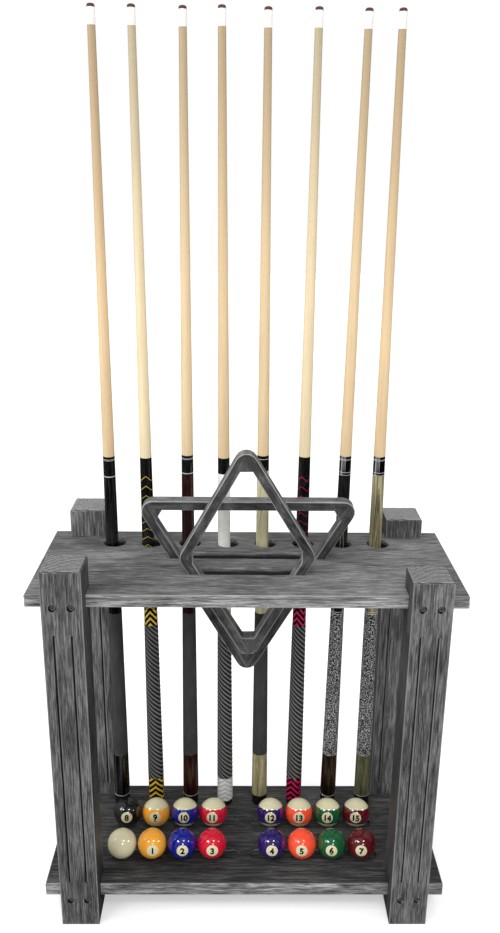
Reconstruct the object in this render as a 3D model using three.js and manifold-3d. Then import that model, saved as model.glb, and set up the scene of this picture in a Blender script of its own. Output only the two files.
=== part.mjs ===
// A free-standing floor rack for pool cues, with what it holds: eight two-piece cues, sixteen balls,
// a triangle rack and a diamond rack. Millimetres, +Z up, +X to the right, the front faces -Y.
// The origin is on the floor, at the centre of the whole set's outline.
import * as THREE from 'three';
import { mergeVertices } from 'three/addons/utils/BufferGeometryUtils.js';
import Module from 'manifold-3d';

const wasm = await Module();
wasm.setup();

// Driving dimensions of the frame.
const postSide = 68;
const postEase = 2.5;
const frameWidth = 671;
const frameDepth = 346;
const leftPostHeight = 711;
const rightPostHeight = 695;
const fitGap = 0.3;

const shelfLength = 738;
const shelfFront = -145;
const shelfRear = 133;
const shelfEase = 3;
const topShelfTop = 658;
const topShelfThickness = 24;
const bottomShelfTop = 68;
const bottomShelfThickness = 28;
const edgeBeadDrop = 8;
const edgeBeadSize = 1.6;
const notchGap = 0.5;

// Grooves down the front and back faces of the posts.
const grooveRadius = 2.6;
const grooveOffset = 15;
const grooveBottom = 95;
const grooveTop = 597;

// Recessed bolts, two for each shelf in each post.
const boltOffset = 15;
const boltHeadRadius = 5.2;
const boltHeadHeight = 5;
const boltRadius = 3;
const boltIntoShelf = 32;
const counterboreRadius = 6.8;
const counterboreDepth = 9;
const socketRadius = 2.6;
const socketDepth = 2.6;
const boltHoleClearance = 0.35;
const boltSides = 8;

// Holes, slots and grooves in the shelves.
const cueCount = 8;
const cueHoleSpacing = 70.8;
const cueHoleRadius = 21;
const cueHoleY = 75;
const slotWidth = 30.6;
const frontSlotY = -51;
const rearSlotY = 17.4;
const ballGrooveLength = 246;
const ballGrooveWidth = 28;
const ballGrooveDepth = 5;
const ballGrooveGap = 20;

// Balls.
const ballRadius = 28.575;
const ballSpacing = 57.7;
const ballRowShift = -5;
const frontBallY = -70.7;
const rearBallY = 17.8;
const ballLift = 0.3;

// The triangle and diamond racks.
const ringDepth = 28;
const ringRail = 17;
const ringCornerRadius = 20;
const ringEase = 1.5;
const triangleSide = 410;
const triangleTop = 767;
const triangleCornerCut = 22;
const triangleShift = 1.5;
const diamondHalfHeight = 207.7;
const diamondHalfWidth = 119.9;
const diamondCentreZ = 689.4;
const diamondCornerCut = 21;
const diamondTiltDegrees = 1;
const slotPlay = 1.2;

// Cues.
const cueLength = 1499;
const buttLength = 764;
const cueFootSpacing = 71.5;
const cueFootShift = -4.5;
const cueFootY = 81.8;
const cueFootLift = 0.6;
const buttBaseRadius = 15.9;
const jointRadius = 10.6;
const tipRadius = 6.3;
const ferruleLength = 25;
const tipHeight = 6;
const collarLength = 36;
const pinRadius = 4;
const pinLength = 18;

// Each cue's lean to the right and to the rear in degrees, and its butt's grip, sleeve and bumper.
const plainButt = { gripTop: 446, gripBottom: 124, bumperTop: 24 };
const ribbedButt = { gripTop: 420, gripBottom: 67, bumperTop: 12 };
const cues = [
  { right: 0.2, rear: -0.95, butt: plainButt, forearm: '#101012', shaft: '#b89f7c' },
  { right: -0.15, rear: -0.9, butt: ribbedButt, forearm: '#1a1813', shaft: '#cbb996' },
  { right: 0.15, rear: -0.6, butt: plainButt, forearm: '#3a1c14', shaft: '#b89f7c' },
  { right: -0.23, rear: -1.0, butt: ribbedButt, forearm: '#dedad4', shaft: '#bfa883' },
  { right: -0.2, rear: -0.55, butt: plainButt, forearm: '#7d7454', shaft: '#b89f7c' },
  { right: 0.1, rear: -0.75, butt: ribbedButt, forearm: '#22101a', shaft: '#cbb996' },
  { right: 0.38, rear: -0.55, butt: plainButt, forearm: '#14110f', shaft: '#b89f7c' },
  { right: -0.35, rear: -0.7, butt: plainButt, forearm: '#6d6244', shaft: '#b89f7c' },
];

// The balls of each row from left to right; null is the empty place in the middle.
const frontRow = ['cue', 1, 2, 3, null, 4, 5, 6, 7];
const rearRow = [8, 9, 10, 11, null, 12, 13, 14, 15];
const ballColours = ['#f0a224', '#10209a', '#cf1440', '#2e1a70', '#ff5a35', '#0a6236', '#641018', '#0b0b0d'];
const cueBallColour = '#d6d0b0';

const woodColour = '#77787a';
const darkWoodColour = '#4b4c4f';
const smoothWoodColour = '#6c6d70';
const steelColour = '#8d9093';

const postX = (frameWidth - postSide) / 2;
const postY = (frameDepth - postSide) / 2;
const shelfMiddleY = (shelfFront + shelfRear) / 2;

function toSolid(geometry) {
  const plain = geometry.clone();
  plain.deleteAttribute('normal');
  plain.deleteAttribute('uv');
  const merged = mergeVertices(plain, 1e-4);
  const vertProperties = new Float32Array(merged.attributes.position.array);
  const triVerts = new Uint32Array(merged.index.array);
  return new wasm.Manifold(new wasm.Mesh({ numProp: 3, vertProperties, triVerts }));
}

function toGeometry(solid) {
  const mesh = solid.getMesh();
  const geometry = new THREE.BufferGeometry();
  geometry.setAttribute('position', new THREE.BufferAttribute(new Float32Array(mesh.vertProperties), 3));
  geometry.setIndex(new THREE.BufferAttribute(new Uint32Array(mesh.triVerts), 1));
  geometry.computeVertexNormals();
  return geometry;
}

function woodMaterial(color) {
  return new THREE.MeshStandardMaterial({ color, roughness: 0.7, metalness: 0 });
}

function glossMaterial(color) {
  return new THREE.MeshStandardMaterial({ color, roughness: 0.12, metalness: 0 });
}

function metalMaterial(color) {
  return new THREE.MeshStandardMaterial({ color, roughness: 0.35, metalness: 0.9 });
}

function namedMesh(name, geometry, material) {
  const mesh = new THREE.Mesh(geometry, material);
  mesh.name = name;
  return mesh;
}

function boxAt(size, centre) {
  return new THREE.BoxGeometry(...size).translate(...centre);
}

// A cylinder lying along Y from fromY to toY.
function rodAlongY(radius, fromY, toY, x, z, segments) {
  const rod = new THREE.CylinderGeometry(radius, radius, Math.abs(toY - fromY), segments);
  return rod.translate(x, (fromY + toY) / 2, z);
}

function extrude(shape, depth) {
  return new THREE.ExtrudeGeometry(shape, { depth, bevelEnabled: false, curveSegments: 8 });
}

// ---- Posts -------------------------------------------------------------------------------------

// A square post with eased edges and an eased top.
function postBlank(height) {
  const half = postSide / 2 - postEase;
  const square = new THREE.Shape();
  square.moveTo(-half, -half);
  square.lineTo(half, -half);
  square.lineTo(half, half);
  square.lineTo(-half, half);
  square.closePath();
  const settings = {
    depth: height,
    bevelEnabled: true,
    bevelSize: postEase,
    bevelThickness: postEase,
    bevelSegments: 1,
  };
  const blank = new THREE.ExtrudeGeometry(square, settings).translate(0, 0, -postEase);
  const aboveFloor = boxAt([postSide * 2, postSide * 2, height], [0, 0, height / 2]);
  return toSolid(blank).intersect(toSolid(aboveFloor));
}

function grooveCutter(x, faceY) {
  const straight = grooveTop - grooveBottom - 2 * grooveRadius;
  const capsule = new THREE.CapsuleGeometry(grooveRadius, straight, 2, 8);
  return capsule.rotateX(Math.PI / 2).translate(x, faceY, (grooveTop + grooveBottom) / 2);
}

function boltLevels() {
  return [
    { name: 'top', z: topShelfTop - topShelfThickness / 2 },
    { name: 'bottom', z: bottomShelfTop - bottomShelfThickness / 2 },
  ];
}

// side is -1 for left and 1 for right; facing is -1 for front and 1 for rear.
function post(side, facing) {
  const height = side < 0 ? leftPostHeight : rightPostHeight;
  let solid = postBlank(height);
  for (const x of [-grooveOffset, grooveOffset]) {
    for (const faceY of [-postSide / 2, postSide / 2]) {
      solid = solid.subtract(toSolid(grooveCutter(x, faceY)));
    }
  }
  const outerFace = (facing * postSide) / 2;
  for (const level of boltLevels()) {
    for (const x of [-boltOffset, boltOffset]) {
      const boreFloor = outerFace - facing * counterboreDepth;
      const bore = rodAlongY(counterboreRadius, outerFace + facing, boreFloor, x, level.z, 12);
      const holeRadius = boltRadius + boltHoleClearance;
      const hole = rodAlongY(holeRadius, outerFace, -outerFace - facing, x, level.z, boltSides);
      solid = solid.subtract(toSolid(bore)).subtract(toSolid(hole));
    }
  }
  const place = `${facing < 0 ? 'front' : 'rear'}_${side < 0 ? 'left' : 'right'}`;
  const mesh = namedMesh(`post_${place}`, toGeometry(solid), woodMaterial(woodColour));
  mesh.position.set(side * postX, facing * postY, 0);
  return mesh;
}

// ---- Shelves -----------------------------------------------------------------------------------

// Half of the section through a shelf's edge, from the top surface at z = 0 down.
function edgeSection(halfWidth, thickness, hasBead) {
  const soft = shelfEase * 0.29;
  const points = [
    [halfWidth - shelfEase, 0],
    [halfWidth - soft, -soft],
    [halfWidth, -shelfEase],
  ];
  if (hasBead) {
    points.push([halfWidth, -edgeBeadDrop + edgeBeadSize]);
    points.push([halfWidth - edgeBeadSize, -edgeBeadDrop]);
    points.push([halfWidth, -edgeBeadDrop - edgeBeadSize]);
  }
  points.push([halfWidth, -thickness + shelfEase]);
  points.push([halfWidth - soft, -thickness + soft]);
  points.push([halfWidth - shelfEase, -thickness]);
  return points;
}

function boardSection(width, thickness, hasBead) {
  const right = edgeSection(width / 2, thickness, hasBead);
  const left = right.map(([x, z]) => [-x, z]).reverse();
  return new THREE.Shape([...right, ...left].map(([x, z]) => new THREE.Vector2(x, z)));
}

// A board with the same moulded edge on all four sides: two crossed mouldings, intersected.
function shelfBlank(thickness, topZ, hasBead) {
  const depth = shelfRear - shelfFront;
  const alongX = extrude(boardSection(depth, thickness, hasBead), shelfLength);
  alongX.translate(0, 0, -shelfLength / 2).rotateX(Math.PI / 2).rotateZ(Math.PI / 2);
  const alongY = extrude(boardSection(shelfLength, thickness, hasBead), depth);
  alongY.translate(0, 0, -depth / 2).rotateX(Math.PI / 2);
  const board = toSolid(alongX).intersect(toSolid(alongY));
  return board.translate([0, shelfMiddleY, topZ]);
}

function notchCutter(side, facing) {
  const width = postSide + 2 * notchGap;
  const wall = facing * (frameDepth / 2 - postSide - notchGap);
  const outside = facing * frameDepth;
  const size = [width, Math.abs(outside - wall), 4 * bottomShelfThickness];
  return toSolid(boxAt(size, [side * postX, (wall + outside) / 2, 0]));
}

// Cuts the four notches for the posts and the bolt holes behind them.
function cutForPosts(board, levelZ) {
  let solid = board;
  for (const side of [-1, 1]) {
    for (const facing of [-1, 1]) {
      solid = solid.subtract(notchCutter(side, facing).translate([0, 0, levelZ]));
      const wall = facing * (frameDepth / 2 - postSide);
      const holeEnd = wall - facing * (boltIntoShelf + 2);
      for (const offset of [-boltOffset, boltOffset]) {
        const radius = boltRadius + boltHoleClearance;
        const x = side * postX + offset;
        solid = solid.subtract(toSolid(rodAlongY(radius, wall + facing, holeEnd, x, levelZ, boltSides)));
      }
    }
  }
  return solid;
}

// A straight slot with round ends, centred at x, y, cut from its floor to above the top surface.
function stadiumCutter(length, width, x, y, floorZ, height, cornerRadius) {
  const shape = new THREE.Shape();
  const halfLength = length / 2;
  const halfWidth = width / 2;
  const r = cornerRadius;
  shape.moveTo(-halfLength + r, -halfWidth);
  shape.lineTo(halfLength - r, -halfWidth);
  shape.absarc(halfLength - r, -halfWidth + r, r, -Math.PI / 2, 0);
  shape.lineTo(halfLength, halfWidth - r);
  shape.absarc(halfLength - r, halfWidth - r, r, 0, Math.PI / 2);
  shape.lineTo(-halfLength + r, halfWidth);
  shape.absarc(-halfLength + r, halfWidth - r, r, Math.PI / 2, Math.PI);
  shape.lineTo(-halfLength, -halfWidth + r);
  shape.absarc(-halfLength + r, -halfWidth + r, r, Math.PI, Math.PI * 1.5);
  const settings = { depth: height, bevelEnabled: false, curveSegments: 4 };
  return toSolid(new THREE.ExtrudeGeometry(shape, settings).translate(x, y, floorZ));
}

function triangleHalfWidthAt(z) {
  const apexZ = triangleTop - (triangleSide * Math.sqrt(3)) / 2;
  return (z - apexZ) / Math.sqrt(3);
}

function diamondHalfWidthAt(z) {
  return diamondHalfWidth * (1 - Math.abs(z - diamondCentreZ) / diamondHalfHeight);
}

function topShelf() {
  let solid = shelfBlank(topShelfThickness, topShelfTop, true);
  solid = cutForPosts(solid, topShelfTop - topShelfThickness / 2);
  const cutHeight = topShelfThickness * 2;
  const cutFloor = topShelfTop - topShelfThickness * 1.5;
  for (let i = 0; i < cueCount; i++) {
    const hole = new THREE.CylinderGeometry(cueHoleRadius, cueHoleRadius, cutHeight, 24);
    hole.rotateX(Math.PI / 2);
    hole.translate(cueHoleSpacing * (i - (cueCount - 1) / 2), cueHoleY, cutFloor + cutHeight / 2);
    solid = solid.subtract(toSolid(hole));
  }
  const frontSlotLength = 2 * (diamondHalfWidthAt(topShelfTop) + slotPlay);
  const rearSlotLength = 2 * (triangleHalfWidthAt(topShelfTop) + slotPlay);
  const slotCorner = 4;
  solid = solid.subtract(
    stadiumCutter(frontSlotLength, slotWidth, 0, frontSlotY, cutFloor, cutHeight, slotCorner),
  );
  solid = solid.subtract(
    stadiumCutter(rearSlotLength, slotWidth, triangleShift, rearSlotY, cutFloor, cutHeight, slotCorner),
  );
  return namedMesh('top_shelf', toGeometry(solid), woodMaterial(woodColour));
}

function bottomShelf() {
  let solid = shelfBlank(bottomShelfThickness, bottomShelfTop, false);
  solid = cutForPosts(solid, bottomShelfTop - bottomShelfThickness / 2);
  const endRadius = ballGrooveWidth / 2 - 0.01;
  const grooveX = (ballGrooveLength + ballGrooveGap) / 2;
  const floorZ = bottomShelfTop - ballGrooveDepth;
  for (const y of [frontBallY, rearBallY]) {
    for (const x of [-grooveX, grooveX]) {
      const cutter = stadiumCutter(
        ballGrooveLength, ballGrooveWidth, x, y, floorZ, ballGrooveDepth * 3, endRadius,
      );
      solid = solid.subtract(cutter);
    }
  }
  return namedMesh('bottom_shelf', toGeometry(solid), woodMaterial(darkWoodColour));
}

// ---- Bolts -------------------------------------------------------------------------------------

// A socket-head bolt along +Z, its head's underside at z = 0.
function boltGeometry() {
  const shankLength = postSide - counterboreDepth + boltIntoShelf;
  const profile = [
    [0, -shankLength],
    [boltRadius, -shankLength],
    [boltRadius, 0],
    [boltHeadRadius, 0],
    [boltHeadRadius, boltHeadHeight],
    [socketRadius, boltHeadHeight],
    [socketRadius, boltHeadHeight - socketDepth],
    [0, boltHeadHeight - socketDepth],
  ];
  return new THREE.LatheGeometry(profile.map(([r, z]) => new THREE.Vector2(r, z)), boltSides);
}

function bolts() {
  const group = new THREE.Group();
  for (const facing of [-1, 1]) {
    for (const side of [-1, 1]) {
      for (const level of boltLevels()) {
        for (const offset of [-1, 1]) {
          const place = `${facing < 0 ? 'front' : 'rear'}_${side < 0 ? 'left' : 'right'}`;
          const name = `bolt_${place}_${level.name}_${offset < 0 ? 1 : 2}`;
          const mesh = namedMesh(name, boltGeometry(), metalMaterial(steelColour));
          const seatY = facing * (frameDepth / 2 - counterboreDepth + fitGap);
          mesh.position.set(side * postX + offset * boltOffset, seatY, level.z);
          mesh.rotation.x = facing < 0 ? Math.PI : 0;
          group.add(mesh);
        }
      }
    }
  }
  return group;
}

// ---- Triangle and diamond ----------------------------------------------------------------------

// The corners of a polygon rounded with arcs of one radius. The corners run anticlockwise.
function roundedPolygon(corners, radius) {
  const points = [];
  const steps = 6;
  corners.forEach((corner, i) => {
    const before = corners[(i + corners.length - 1) % corners.length];
    const after = corners[(i + 1) % corners.length];
    const toBefore = before.clone().sub(corner).normalize();
    const toAfter = after.clone().sub(corner).normalize();
    const halfAngle = Math.acos(toBefore.dot(toAfter)) / 2;
    const bisector = toBefore.clone().add(toAfter).normalize();
    const centre = corner.clone().addScaledVector(bisector, radius / Math.sin(halfAngle));
    const first = corner.clone().addScaledVector(toBefore, radius / Math.tan(halfAngle)).sub(centre);
    const turn = Math.PI - 2 * halfAngle;
    for (let k = 0; k <= steps; k++) {
      points.push(first.clone().rotateAround(new THREE.Vector2(), (turn * k) / steps).add(centre));
    }
  });
  return points;
}

// The corners of a polygon cut off flat, each cut as long as the given length, where it is above 0.
function clippedPolygon(corners, cutLengths) {
  const points = [];
  corners.forEach((corner, i) => {
    const before = corners[(i + corners.length - 1) % corners.length];
    const after = corners[(i + 1) % corners.length];
    const toBefore = before.clone().sub(corner).normalize();
    const toAfter = after.clone().sub(corner).normalize();
    const halfAngle = Math.acos(toBefore.dot(toAfter)) / 2;
    const reach = cutLengths[i] / 2 / Math.sin(halfAngle);
    points.push(corner.clone().addScaledVector(toBefore, reach));
    points.push(corner.clone().addScaledVector(toAfter, reach));
  });
  return points;
}

// A closed ring of rails standing in the XZ plane, its depth along Y centred on 0.
function ringGeometry(outline, opening) {
  const shape = new THREE.Shape(outline);
  shape.holes.push(new THREE.Path(opening));
  const settings = {
    depth: ringDepth - 2 * ringEase,
    bevelEnabled: true,
    bevelSize: ringEase,
    bevelThickness: ringEase,
    bevelOffset: -ringEase,
    bevelSegments: 1,
  };
  const ring = new THREE.ExtrudeGeometry(shape, settings);
  return ring.translate(0, 0, -ringDepth / 2 + ringEase).rotateX(Math.PI / 2);
}

function triangleCorners(inset) {
  const side = triangleSide - 2 * inset * Math.sqrt(3);
  const topZ = triangleTop - inset;
  return [
    new THREE.Vector2(0, topZ - (side * Math.sqrt(3)) / 2),
    new THREE.Vector2(side / 2, topZ),
    new THREE.Vector2(-side / 2, topZ),
  ];
}

function triangleRack() {
  const outline = roundedPolygon(triangleCorners(0), ringCornerRadius);
  const cuts = [triangleCornerCut, triangleCornerCut, triangleCornerCut];
  const opening = clippedPolygon(triangleCorners(ringRail), cuts);
  const mesh = namedMesh('triangle_rack', ringGeometry(outline, opening), woodMaterial(smoothWoodColour));
  mesh.position.set(triangleShift, rearSlotY, 0);
  return mesh;
}

function diamondCorners(inset) {
  const acute = Math.atan(diamondHalfWidth / diamondHalfHeight);
  const halfHeight = diamondHalfHeight - inset / Math.sin(acute);
  const halfWidth = diamondHalfWidth - inset / Math.cos(acute);
  return [
    new THREE.Vector2(0, -halfHeight),
    new THREE.Vector2(halfWidth, 0),
    new THREE.Vector2(0, halfHeight),
    new THREE.Vector2(-halfWidth, 0),
  ];
}

function diamondRack() {
  const outline = roundedPolygon(diamondCorners(0), ringCornerRadius);
  const cuts = [diamondCornerCut, diamondCornerCut, diamondCornerCut, diamondCornerCut];
  const opening = clippedPolygon(diamondCorners(ringRail), cuts);
  const mesh = namedMesh('diamond_rack', ringGeometry(outline, opening), woodMaterial(smoothWoodColour));
  mesh.position.set(0, frontSlotY, diamondCentreZ);
  mesh.rotation.y = THREE.MathUtils.degToRad(-diamondTiltDegrees);
  return mesh;
}

// ---- Balls -------------------------------------------------------------------------------------

function ballColour(number) {
  if (number === 'cue') {
    return cueBallColour;
  }
  return ballColours[(number - 1) % ballColours.length];
}

// A ball rests on both edges of its groove.
function ballRestZ() {
  const halfGroove = ballGrooveWidth / 2;
  return bottomShelfTop + Math.sqrt(ballRadius ** 2 - halfGroove ** 2) + ballLift;
}

function balls() {
  const group = new THREE.Group();
  const rows = [
    { y: frontBallY, numbers: frontRow },
    { y: rearBallY, numbers: rearRow },
  ];
  for (const row of rows) {
    row.numbers.forEach((number, i) => {
      if (number === null) {
        return;
      }
      const sphere = new THREE.IcosahedronGeometry(ballRadius, 2);
      const mesh = namedMesh(`ball_${number}`, sphere, glossMaterial(ballColour(number)));
      const middle = (row.numbers.length - 1) / 2;
      mesh.position.set(ballRowShift + ballSpacing * (i - middle), row.y, ballRestZ());
      group.add(mesh);
    });
  }
  return group;
}

// ---- Cues --------------------------------------------------------------------------------------

function lathe(profile, segments) {
  const points = profile.map(([r, z]) => new THREE.Vector2(r, z));
  return new THREE.LatheGeometry(points, segments).rotateX(Math.PI / 2);
}

// The butt's radius at a height above its foot.
function buttRadius(z) {
  return THREE.MathUtils.lerp(buttBaseRadius, jointRadius, z / buttLength);
}

// The butt half: bumper, sleeve, grip, forearm, joint collar and the pin that joins the halves.
function buttGeometry(butt) {
  const gripStep = 0.3;
  const collarBottom = buttLength - collarLength;
  const profile = [
    [0, 0],
    [buttBaseRadius - 3.4, 0],
    [buttBaseRadius - 1.2, 2.4],
    [buttBaseRadius - 1, butt.bumperTop],
    [buttRadius(butt.bumperTop), butt.bumperTop],
    [buttRadius(butt.gripBottom), butt.gripBottom],
    [buttRadius(butt.gripBottom) + gripStep, butt.gripBottom + gripStep],
    [buttRadius(butt.gripTop) + gripStep, butt.gripTop - gripStep],
    [buttRadius(butt.gripTop), butt.gripTop],
    [buttRadius(collarBottom), collarBottom],
    [jointRadius, buttLength],
    [pinRadius, buttLength],
    [pinRadius, buttLength + pinLength - 1],
    [pinRadius - 1, buttLength + pinLength],
    [0, buttLength + pinLength],
  ];
  return lathe(profile, 14);
}

// The shaft half, with its blind hole for the pin, its ferrule and its domed tip.
function shaftGeometry() {
  const base = buttLength + fitGap;
  const ferruleBase = cueLength - tipHeight - ferruleLength;
  const socket = pinRadius + fitGap;
  const profile = [
    [0, base + pinLength + 2],
    [socket, base + pinLength + 2],
    [socket, base],
    [jointRadius, base],
    [8, base + 400],
    [tipRadius + 0.1, ferruleBase],
    [tipRadius, cueLength - tipHeight],
    [tipRadius, cueLength - tipHeight * 0.5],
    [tipRadius * 0.6, cueLength - tipHeight * 0.1],
    [0, cueLength],
  ];
  return lathe(profile, 10);
}

function standingCue(cue, index) {
  const stand = new THREE.Group();
  const number = index + 1;
  stand.add(namedMesh(`cue_${number}_butt`, buttGeometry(cue.butt), glossMaterial(cue.forearm)));
  stand.add(namedMesh(`cue_${number}_shaft`, shaftGeometry(), glossMaterial(cue.shaft)));
  const footX = cueFootShift + cueFootSpacing * (index - (cueCount - 1) / 2);
  stand.position.set(footX, cueFootY, bottomShelfTop + cueFootLift);
  stand.rotation.y = THREE.MathUtils.degToRad(cue.right);
  stand.rotation.x = THREE.MathUtils.degToRad(-cue.rear);
  return stand;
}

// ---- The whole set -----------------------------------------------------------------------------

const rackSet = new THREE.Group();
for (const facing of [-1, 1]) {
  for (const side of [-1, 1]) {
    rackSet.add(post(side, facing));
  }
}
rackSet.add(topShelf(), bottomShelf(), bolts(), triangleRack(), diamondRack(), balls());
cues.forEach((cue, index) => rackSet.add(standingCue(cue, index)));

export default rackSet;
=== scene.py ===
"""Looks for the floor cue rack, its cues, balls and racking frames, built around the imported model."""

import math

import bmesh
import bpy
from mathutils import Matrix, Vector


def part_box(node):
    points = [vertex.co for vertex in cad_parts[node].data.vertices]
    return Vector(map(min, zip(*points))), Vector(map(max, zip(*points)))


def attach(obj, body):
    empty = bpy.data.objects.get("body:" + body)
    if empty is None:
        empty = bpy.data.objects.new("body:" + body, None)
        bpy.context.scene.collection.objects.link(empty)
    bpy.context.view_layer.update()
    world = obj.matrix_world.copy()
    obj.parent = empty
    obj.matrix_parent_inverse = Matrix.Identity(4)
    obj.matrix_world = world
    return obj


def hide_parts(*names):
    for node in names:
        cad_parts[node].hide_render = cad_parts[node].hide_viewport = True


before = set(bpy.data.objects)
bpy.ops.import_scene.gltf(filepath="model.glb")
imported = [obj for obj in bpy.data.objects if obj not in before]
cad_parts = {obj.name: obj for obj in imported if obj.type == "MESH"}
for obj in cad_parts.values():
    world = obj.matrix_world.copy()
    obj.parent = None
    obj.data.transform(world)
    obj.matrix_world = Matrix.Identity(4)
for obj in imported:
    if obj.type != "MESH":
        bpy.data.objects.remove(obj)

CUE_COUNT = 8
BALL_COUNT = 15
SHARP_ANGLE = math.radians(32)
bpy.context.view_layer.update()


# ---------------- colours and node materials


def srgb(red, green, blue):
    """A colour given in the usual 0 to 255 numbers, as the linear colour that a shader takes."""

    def linear(part):
        share = part / 255
        return share / 12.92 if share <= 0.04045 else ((share + 0.055) / 1.055) ** 2.4

    return (linear(red), linear(green), linear(blue), 1.0)


def grey(level):
    return srgb(level, level, level)


def put_in_scene(thing):
    bpy.context.scene.collection.objects.link(thing)


def darker(colour, share):
    """A colour with its light cut to a share."""
    return tuple(part * share for part in colour[:3]) + (1.0,)


class Tree:
    """A node tree as it is built. Each call adds a node and gives the socket that it makes."""

    def __init__(self, node_tree):
        self.nodes = node_tree.nodes
        self.links = node_tree.links
        self.nodes.clear()

    def give(self, socket, value):
        """Sets a socket, or links it where the value is another node's socket."""
        if isinstance(value, bpy.types.NodeSocket):
            self.links.new(value, socket)
        else:
            socket.default_value = value

    def fill(self, node, values):
        """Sets a node's inputs by name. An underscore in a name stands for a space."""
        for name, value in values.items():
            self.give(node.inputs[name.replace("_", " ")], value)

    def add(self, kind, **values):
        """Adds a node, sets its inputs and gives its outputs."""
        node = self.nodes.new(kind)
        self.fill(node, values)
        return node.outputs

    def operate(self, kind, operation, values):
        node = self.nodes.new(kind)
        node.operation = operation
        for socket, value in zip(node.inputs, values):
            self.give(socket, value)
        return node.outputs

    def math(self, operation, *values):
        return self.operate("ShaderNodeMath", operation, values)["Value"]

    def times(self, first, second):
        return self.math("MULTIPLY", first, second)

    def vector(self, operation, *values):
        outputs = self.operate("ShaderNodeVectorMath", operation, values)
        return outputs["Value" if operation in ("DOT_PRODUCT", "LENGTH") else "Vector"]

    def parts(self, vector):
        x, y, z = self.add("ShaderNodeSeparateXYZ", Vector=vector)
        return x, y, z

    def joined(self, x, y, z):
        return self.add("ShaderNodeCombineXYZ", X=x, Y=y, Z=z)["Vector"]

    def rise(self, value, low, high):
        """0 below low and 1 above high, smoothly. With high less than low it falls instead."""
        node = self.nodes.new("ShaderNodeMapRange")
        node.interpolation_type = "SMOOTHSTEP"
        start, end = (0.0, 1.0) if low < high else (1.0, 0.0)
        low, high = min(low, high), max(low, high)
        self.fill(node, {"Value": value, "From Min": low, "From Max": high, "To Min": start, "To Max": end})
        return node.outputs["Result"]

    def scaled(self, value, low, high):
        """A 0 to 1 value as one from low to high."""
        return self.add("ShaderNodeMapRange", Value=value, To_Min=low, To_Max=high)["Result"]

    def blend(self, *weighted):
        """The sum of (value, weight) pairs."""
        (value, weight), *others = weighted
        total = self.times(value, weight)
        for value, weight in others:
            total = self.math("MULTIPLY_ADD", value, weight, total)
        return total

    def noise(self, place, scale, detail, roughness, distortion=0.0):
        return self.add(
            "ShaderNodeTexNoise", Vector=place, Scale=scale, Detail=detail, Roughness=roughness,
            Distortion=distortion,
        )[0]

    def stretched(self, place, scales, shift=(0.0, 0.0, 0.0)):
        return self.add("ShaderNodeMapping", Vector=place, Scale=scales, Location=shift)["Vector"]

    def ramp(self, factor, *stops):
        node = self.nodes.new("ShaderNodeValToRGB")
        self.give(node.inputs[0], factor)
        steps = node.color_ramp.elements
        while len(steps) < len(stops):
            steps.new(0.5)
        for step, (position, colour) in zip(steps, stops):
            step.position = position
            step.color = colour
        return node.outputs["Color"]

    def mix(self, factor, first, second):
        node = self.nodes.new("ShaderNodeMix")
        node.data_type = "RGBA"
        self.give(node.inputs[0], factor)
        self.give(node.inputs[6], first)
        self.give(node.inputs[7], second)
        return node.outputs[2]

    def background(self, strength):
        white = (1.0, 1.0, 1.0, 1.0)
        return self.add("ShaderNodeBackground", Color=white, Strength=strength)["Background"]


class Look(Tree):
    """A material with one principled shader."""

    def __init__(self, name, **settings):
        self.material = bpy.data.materials.new(name)
        self.material.use_nodes = True
        super().__init__(self.material.node_tree)
        output = self.nodes.new("ShaderNodeOutputMaterial")
        self.shader = self.nodes.new("ShaderNodeBsdfPrincipled")
        self.links.new(self.shader.outputs["BSDF"], output.inputs["Surface"])
        where = self.add("ShaderNodeTexCoord")
        self.place = where["Object"]
        self.facing = where["Normal"]
        self.surface(**settings)

    def surface(self, **values):
        self.fill(self.shader, values)

    def bump(self, height, distance, strength):
        bumped = self.add("ShaderNodeBump", Height=height, Distance=distance, Strength=strength)
        self.surface(Normal=bumped["Normal"])

    def done(self, colour, roughness):
        """The finished material."""
        self.surface(Base_Color=colour, Roughness=roughness)
        return self.material


# ---------------- wood of the rack


def box_middle(node):
    low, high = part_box(node)
    return (low + high) / 2, (high - low) / 2


def edge_distance(look, middle, half):
    """How far a point lies from a box's nearest edge along its surface, and how deep inside the box."""
    from_middle = look.vector("SUBTRACT", look.place, tuple(middle))
    gaps = look.vector("SUBTRACT", tuple(half), look.vector("ABSOLUTE", from_middle))
    x, y, z = look.parts(gaps)
    smaller = look.math("MINIMUM", x, y)
    larger = look.math("MAXIMUM", x, y)
    to_edge = look.math("MAXIMUM", smaller, look.math("MINIMUM", larger, z))
    return to_edge, look.math("MINIMUM", smaller, z)


def drawn_out(look, place, axis, share, shift=(0.0, 0.0, 0.0)):
    """A place with one axis scaled by a share, which draws a noise out along it."""
    scales = tuple(share if index == axis else 1.0 for index in range(3))
    return look.stretched(place, scales, shift)


def brushed_grain(look, axis, shift):
    """Streaks of a brushed board along one axis, its finer fibres, figure, and slow clouds, all near 0.5."""
    streaks = look.noise(drawn_out(look, look.place, axis, 0.07, shift), 210.0, 5.0, 0.65, 0.4)
    fibres = look.noise(drawn_out(look, look.place, axis, 0.055, shift), 450.0, 4.0, 0.75, 0.2)
    figure = look.noise(drawn_out(look, look.place, axis, 0.14, shift), 38.0, 4.0, 0.55, 1.4)
    clouds = look.noise(drawn_out(look, look.place, axis, 0.6, shift), 11.0, 2.0, 0.5)
    return streaks, fibres, figure, clouds


RING_SPACING = 0.0046
HEART = (0.02, 0.09, 0.05)


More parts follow.
